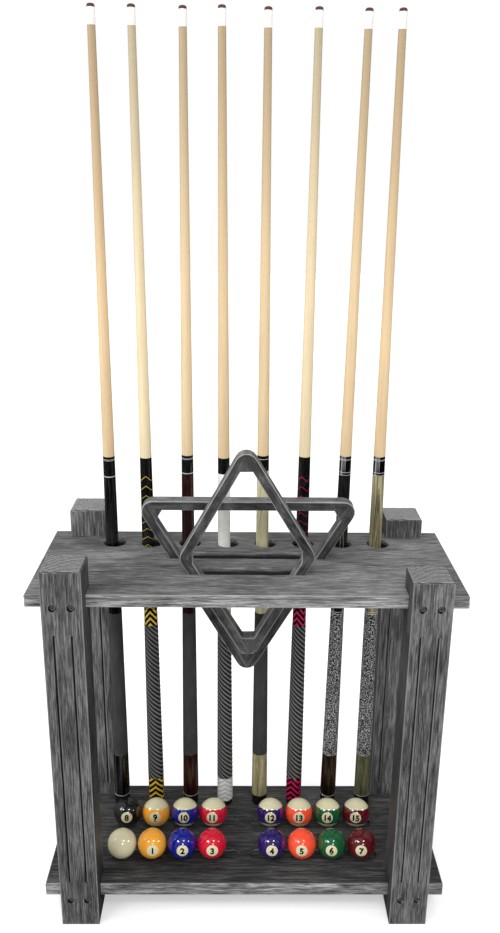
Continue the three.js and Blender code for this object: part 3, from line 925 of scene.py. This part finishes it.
class Trims:
    """The finishes that several cues share, made once."""

    def __init__(self):
        self.silver = metal("trim_silver", 245, 0.3)
        self.black = gloss("gloss_black", grey(4), grey(58), 0.02, 0.12, (0.52, 0.68))
        self.collar = gloss("collar_black", grey(5), grey(16), 0.2)
        # The pale streaks of this black gloss are painted reflections.
        self.black_painted_streaks = gloss("black_painted_reflections", grey(5), grey(150), 0.02, 0.12, (0.56, 0.66))
        self.bumper = bumper_rubber()
        self.wrap = smooth_wrap()
        self.ribs = ribbed_grip()
        self.linen = linen_wrap()
        self.pearl = pearl()
        self.add_chevrons()
        self.add_woods()
        self.add_points()

    def add_chevrons(self):
        black = grey(7)
        fine = {"pitch": 0.0185, "line": 0.0014, "drop": 0.01, "phase": -0.004}
        broad = {"pitch": 0.0148, "line": 0.0066, "drop": 0.02}
        self.gold_thin = chevron_gloss("chevron_gold_thin", srgb(226, 198, 78), black, **fine)
        self.gold_thick = chevron_gloss("chevron_gold_thick", srgb(214, 182, 62), black, **broad)
        self.pink_thin = chevron_gloss("chevron_pink_thin", srgb(205, 28, 96), black, turn=0.2, **fine)
        self.pink_thick = chevron_gloss("chevron_pink_thick", srgb(200, 22, 90), black, turn=0.2, **broad)
        self.white_thick = chevron_gloss("chevron_white", grey(188), grey(224), 0.0119, 0.0051)

    def add_woods(self):
        self.mahogany = figured("mahogany", srgb(8, 2, 1), srgb(33, 8, 4), srgb(66, 23, 12))
        self.olive = figured("olive_wood", srgb(96, 89, 62), srgb(142, 134, 100), srgb(176, 168, 132))
        pale = (srgb(160, 152, 120), srgb(214, 206, 168), srgb(238, 230, 192))
        self.pale_olive = figured("pale_olive_wood", *pale)
        self.amber = figured("amber_streaks", srgb(4, 3, 3), srgb(12, 9, 6), srgb(72, 50, 20), 110.0)
        self.green = figured("green_gloss", srgb(48, 50, 34), srgb(80, 81, 58), srgb(106, 106, 78))

    def add_points(self):
        gold, teal = srgb(196, 160, 70), srgb(12, 130, 120)
        self.teal_points = point_inlay(
            "teal_points", grey(8), grey(22), ((gold, 0.0006), (teal, 0.0011)),
            base=GRIP_TOP, tip=0.640, repeats=4, widest=0.5,
        )
        dark_veneers = (
            (srgb(12, 14, 12), 0.0011),
            (srgb(44, 60, 40), 0.0008),
            (srgb(16, 14, 10), 0.0011),
            (srgb(150, 110, 60), 0.0008),
            (srgb(18, 14, 10), 0.0012),
        )
        self.veneer_points = point_inlay(
            "veneer_points", srgb(96, 92, 70), srgb(168, 160, 124), dark_veneers,
            base=GRIP_TOP, tip=0.705, repeats=2, widest=0.36, spacing=0.0019,
        )


def plain_butt(cue, trims, forearm, sleeve, grip, collar, collar_low, rings, paired=True):
    """A butt with a smooth grip. rings are (height, width) for its metal rings, and paired says whether the
    one under the joint is double."""
    bumper(cue, trims.bumper, PLAIN_FOOT)
    band(cue, "sleeve", sleeve, PLAIN_FOOT, GRIP_LOW)
    band(cue, "grip", grip, GRIP_LOW, GRIP_TOP, 0.0002, ease=0.0004)
    band(cue, "forearm", forearm, GRIP_TOP, collar_low)
    band(cue, "collar", collar, collar_low, cue.joint)
    single = ((cue.joint - 0.0065, 0.0012),)
    double = ((cue.joint - 0.0070, 0.0008), (cue.joint - 0.0051, 0.0008))
    trim_rings(cue, trims.silver, rings + (double if paired else single))


def ribbed_butt(cue, trims, thin, thick, sleeve, thin_top):
    """A butt with a ribbed grip between two chevron bands."""
    foot, grip_low, grip_high, thick_top = 0.012, 0.067, 0.420, 0.455
    bumper(cue, trims.bumper, foot)
    band(cue, "sleeve", sleeve, foot, grip_low, 0.0002)
    ribbed(cue, trims.ribs, grip_low, grip_high)
    band(cue, "chevrons", thick, grip_high, thick_top)
    band(cue, "forearm", thin, thick_top, thin_top)
    band(cue, "collar", trims.collar, thin_top, cue.joint)


def build_cues():
    trims = Trims()
    ferrule = ferrule_white()
    leather = tip_leather()
    cues = [Cue(number) for number in range(1, CUE_COUNT + 1)]
    for cue in cues:
        build_shaft(cue, ferrule, leather)
    foot_ring = (PLAIN_FOOT, 0.0018)
    black_rings = (foot_ring, (0.7235, 0.002))
    mahogany_rings = (foot_ring, (0.7295, 0.002))
    linen_rings = (
        (PLAIN_FOOT, 0.0012),
        (GRIP_LOW - 0.0005, 0.0016),
        (GRIP_TOP - 0.0005, 0.0012),
        (GRIP_TOP + 0.0035, 0.0012),
        (0.7285, 0.0011),
        (0.7335, 0.0011),
    )
    wrap, linen, collar, black_painted_streaks = trims.wrap, trims.linen, trims.collar, trims.black_painted_streaks
    plain_butt(cues[0], trims, trims.black, trims.black, wrap, collar, 0.724, black_rings)
    ribbed_butt(cues[1], trims, trims.gold_thin, trims.gold_thick, trims.gold_thick, 0.727)
    plain_butt(cues[2], trims, trims.mahogany, trims.mahogany, wrap, collar, 0.728, mahogany_rings)
    ribbed_butt(cues[3], trims, trims.pearl, trims.white_thick, trims.white_thick, 0.731)
    plain_butt(cues[4], trims, trims.pale_olive, trims.olive, wrap, collar, 0.735, (), paired=False)
    ribbed_butt(cues[5], trims, trims.pink_thin, trims.pink_thick, trims.pink_thick, 0.727)
    plain_butt(cues[6], trims, trims.teal_points, trims.amber, linen, black_painted_streaks, 0.728, linen_rings)
    plain_butt(cues[7], trims, trims.veneer_points, trims.green, linen, black_painted_streaks, 0.728, linen_rings)


# ---------------- balls


FRONT_LIFT, REAR_LIFT = math.radians(11), math.radians(15)
LEFT_TURN = math.radians(7)
FACING_REACH = 1.4
CIRCLE_ANGLE = math.radians(23.2)
STRIPE_ANGLE = math.radians(31.6)
CREAM = srgb(214, 208, 172)
BALL_COLOURS = (
    srgb(240, 164, 50),
    srgb(10, 22, 130),
    srgb(205, 14, 46),
    srgb(36, 16, 92),
    srgb(252, 82, 50),
    srgb(6, 84, 44),
    srgb(88, 5, 16),
    srgb(10, 10, 11),
)


def ball_look(name, colour, striped=False, numbered=True):
    """Polished resin. The number's disc faces -Y, and a stripe runs round Z."""
    look = Look(name, Coat_Weight=1.0, Coat_Roughness=0.02, Specular_IOR_Level=0.7)
    x, y, z = look.parts(look.vector("NORMALIZE", look.place))
    cloud = look.noise(look.place, 60.0, 3.0, 0.5)
    tint = look.mix(look.scaled(cloud, 0.0, 0.25), colour, darker(colour, 0.7))
    cream = look.mix(look.scaled(cloud, 0.0, 0.2), CREAM, srgb(196, 188, 146))
    shade = tint
    if striped:
        edge = math.sin(STRIPE_ANGLE)
        cap = look.rise(look.math("ABSOLUTE", z), edge - 0.004, edge + 0.004)
        shade = look.mix(cap, shade, cream)
    if numbered:
        rim = math.cos(CIRCLE_ANGLE)
        disc = look.rise(look.times(y, -1.0), rim - 0.002, rim + 0.002)
        shade = look.mix(disc, shade, cream)
    scratches = look.noise(look.stretched(look.place, (1.0, 0.2, 1.0)), 900.0, 3.0, 0.7)
    look.bump(scratches, 0.00003, 0.2)
    return look.done(shade, look.scaled(scratches, 0.03, 0.09))


def ball_shape(radius):
    """A sphere of even four-sided faces."""
    shape = bmesh.new()
    bmesh.ops.create_cube(shape, size=2.0)
    bmesh.ops.subdivide_edges(shape, edges=shape.edges, cuts=15, use_grid_fill=True)
    for vertex in shape.verts:
        spread = Vector(math.tan(part * math.pi / 4) for part in vertex.co)
        vertex.co = spread.normalized() * radius
    return shape


def ball_place(node):
    """The ball's own frame and radius. Its number faces a point in front of the rack's middle, tipped up."""
    middle, half = box_middle(node)
    in_front = middle.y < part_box("ball_8")[0].y
    lift = FRONT_LIFT if in_front else REAR_LIFT
    turned = 0.0 if in_front or middle.x > 0 else -LEFT_TURN
    level = Vector((-middle.x, -FACING_REACH, 0.0)).normalized()
    level.rotate(Matrix.Rotation(turned, 3, "Z"))
    front = level * math.cos(lift) + Vector((0, 0, math.sin(lift)))
    pole = Vector((0, 0, math.cos(lift))) - level * math.sin(lift)
    back = -front
    side = back.cross(pole)
    turn = Matrix((side, back, pole)).transposed().to_4x4()
    return Matrix.Translation(middle) @ turn, max(half)


NUMBER_HEIGHT = 0.0112
CAPITAL_SHARE = 0.70
UNDERLINED = ("6", "9")


def flat_number(text):
    """The number as a flat mesh standing on the X axis."""
    letters = bpy.data.curves.new("number", "FONT")
    letters.body = text
    letters.align_x = "CENTER"
    letters.size = NUMBER_HEIGHT / CAPITAL_SHARE
    letters.offset = NUMBER_HEIGHT * 0.065
    letters.resolution_u = 5
    carrier = bpy.data.objects.new("number", letters)
    put_in_scene(carrier)
    bpy.context.view_layer.update()
    mesh = bpy.data.meshes.new_from_object(carrier.evaluated_get(bpy.context.evaluated_depsgraph_get()))
    bpy.data.objects.remove(carrier)
    bpy.data.curves.remove(letters)
    shape = bmesh.new()
    shape.from_mesh(mesh)
    bpy.data.meshes.remove(mesh)
    bmesh.ops.remove_doubles(shape, verts=shape.verts, dist=0.000001)
    return shape


def add_underline(shape):
    """The bar under a 6 or a 9."""
    low, high = -NUMBER_HEIGHT * 0.31, -NUMBER_HEIGHT * 0.19
    wide = NUMBER_HEIGHT * 0.32
    bar = [shape.verts.new((x, y, 0.0)) for x, y in ((-wide, low), (wide, low), (wide, high), (-wide, high))]
    shape.faces.new(bar)


def cut_by_grid(shape):
    """Cuts a flat shape along a grid of 1 mm, so that it can bend over the ball."""
    spacing = 0.001
    for direction in (Vector((1.0, 0.0, 0.0)), Vector((0.0, 1.0, 0.0))):
        for step in range(-8, 15):
            place = direction * (step * spacing)
            everything = list(shape.verts) + list(shape.edges) + list(shape.faces)
            bmesh.ops.bisect_plane(shape, geom=everything, plane_co=place, plane_no=direction, dist=0.00001)


def number_shape(text, radius):
    """The ball's number, as a thin shell of ink laid on the sphere."""
    shape = flat_number(text)
    lift = 0.0
    if text in UNDERLINED:
        add_underline(shape)
        lift = NUMBER_HEIGHT * 0.1
    cut_by_grid(shape)
    top = bmesh.ops.extrude_face_region(shape, geom=list(shape.faces))
    raised = {item for item in top["geom"] if isinstance(item, bmesh.types.BMVert)}
    proud, buried = 0.00006, 0.0004
    for vertex in shape.verts:
        x, z = vertex.co.x, vertex.co.y - NUMBER_HEIGHT / 2 + lift
        reach = radius + (proud if vertex in raised else -buried)
        front = -math.sqrt(radius * radius - x * x - z * z)
        vertex.co = Vector((x, front, z)).normalized() * reach
    return shape


def ink():
    look = Look("number_ink", Specular_IOR_Level=0.2)
    haze = look.noise(look.place, 700.0, 2.0, 0.5)
    return look.done(look.ramp(haze, (0.3, grey(5)), (0.7, grey(10))), look.scaled(haze, 0.15, 0.3))


def build_balls():
    black_ink = ink()
    place, radius = ball_place("ball_cue")
    look = ball_look("resin_cue", CREAM, numbered=False)
    piece("ball_cue_resin", ball_shape(radius), look, "ball_cue_body", place, ("ball_cue",))
    for number in range(1, BALL_COUNT + 1):
        node = f"ball_{number}"
        striped = number > 8
        colour = BALL_COLOURS[(number - 9) if striped else (number - 1)]
        place, radius = ball_place(node)
        look = ball_look(f"resin_{number}", colour, striped)
        piece(f"{node}_resin", ball_shape(radius), look, f"{node}_body", place, (node,))
        piece(f"{node}_number", number_shape(str(number), radius), black_ink, f"{node}_body", place)


# ---------------- camera, light and floor


def add_camera():
    """A camera in front of the rack, above its shelves and tipped down at them."""
    place = (-0.01505, -1.4554, 1.3069)
    yaw, pitch, roll = math.radians(0.74), math.radians(-17.99), math.radians(0.59)
    forward = Vector((math.sin(yaw) * math.cos(pitch), math.cos(yaw) * math.cos(pitch), math.sin(pitch)))
    level = Vector((math.cos(yaw), -math.sin(yaw), 0.0))
    up = level.cross(forward)
    right = level * math.cos(roll) + up * math.sin(roll)
    above = up * math.cos(roll) - level * math.sin(roll)
    lens = bpy.data.cameras.new("camera")
    lens.lens = 33.86
    lens.sensor_width = 36.0
    lens.clip_start = 0.05
    camera = bpy.data.objects.new("camera", lens)
    turn = Matrix((right, above, -forward)).transposed().to_4x4()
    camera.matrix_world = Matrix.Translation(place) @ turn
    put_in_scene(camera)
    bpy.context.scene.camera = camera


def add_light(name, place, target, size, power):
    """A soft rectangular light aimed at a point."""
    data = bpy.data.lights.new(name, "AREA")
    data.shape = "RECTANGLE"
    data.size, data.size_y = size
    data.energy = power
    light = bpy.data.objects.new(name, data)
    aim = (Vector(target) - Vector(place)).to_track_quat("-Z", "Y")
    light.matrix_world = Matrix.Translation(place) @ aim.to_matrix().to_4x4()
    put_in_scene(light)


def add_lights():
    """Four soft boxes round the front, and a large one high on the left."""
    low_middle = (0.0, 0.0, 0.3)
    add_light("key_left", (-1.62, -1.55, 2.36), (-0.1, 0.0, 0.3), (0.92, 0.5), 18.0)
    add_light("key_middle", (0.72, -1.75, 2.85), low_middle, (0.56, 0.32), 10.0)
    add_light("key_low", (0.45, -3.0, 2.2), low_middle, (0.5, 0.34), 11.0)
    add_light("key_right", (2.6, -0.85, 1.85), low_middle, (0.6, 0.34), 10.0)
    add_light("high_left", (-3.0, -0.8, 2.4), (0.0, 0.0, 0.5), (1.2, 1.2), 20.0)


def add_world():
    """A white room that is brighter overhead and to the left, dim in reflections, and plain white behind."""
    world = bpy.data.worlds.new("studio")
    bpy.context.scene.world = world
    world.use_nodes = True
    tree = Tree(world.node_tree)
    direction = tree.add("ShaderNodeTexCoord")["Generated"]
    path = tree.add("ShaderNodeLightPath")
    slope = tree.vector("DOT_PRODUCT", direction, (-0.38, 0.0, 1.15))
    level = tree.math("MAXIMUM", tree.math("ADD", slope, 0.4), 0.04)
    calm = tree.math("MULTIPLY_ADD", path["Is Glossy Ray"], -0.75, 1.0)
    room = tree.background(tree.times(level, calm))
    pick = tree.nodes.new("ShaderNodeMixShader")
    tree.give(pick.inputs["Fac"], path["Is Camera Ray"])
    tree.give(pick.inputs[1], room)
    tree.give(pick.inputs[2], tree.background(1.0))
    output = tree.nodes.new("ShaderNodeOutputWorld")
    tree.give(output.inputs["Surface"], pick.outputs[0])
    bpy.context.scene.view_settings.view_transform = "Standard"


def add_floor():
    """A plain pale floor, kept out of reflections."""
    look = Look("floor_pale", Roughness=0.8, Emission_Color=grey(255), Emission_Strength=0.4)
    haze = look.noise(look.place, 3.0, 3.0, 0.5)
    look.surface(Base_Color=look.ramp(haze, (0.3, grey(214)), (0.7, grey(220))))
    shape = bmesh.new()
    bmesh.ops.create_grid(shape, x_segments=8, y_segments=8, size=12.0)
    mesh = bpy.data.meshes.new("floor")
    shape.to_mesh(mesh)
    shape.free()
    mesh.materials.append(look.material)
    floor = bpy.data.objects.new("floor", mesh)
    floor.visible_glossy = False
    put_in_scene(floor)


# ---------------- everything


add_camera()
add_world()
add_lights()
add_floor()
build_posts()
build_shelves()
build_bolts()
build_frames()
build_cues()
build_balls()
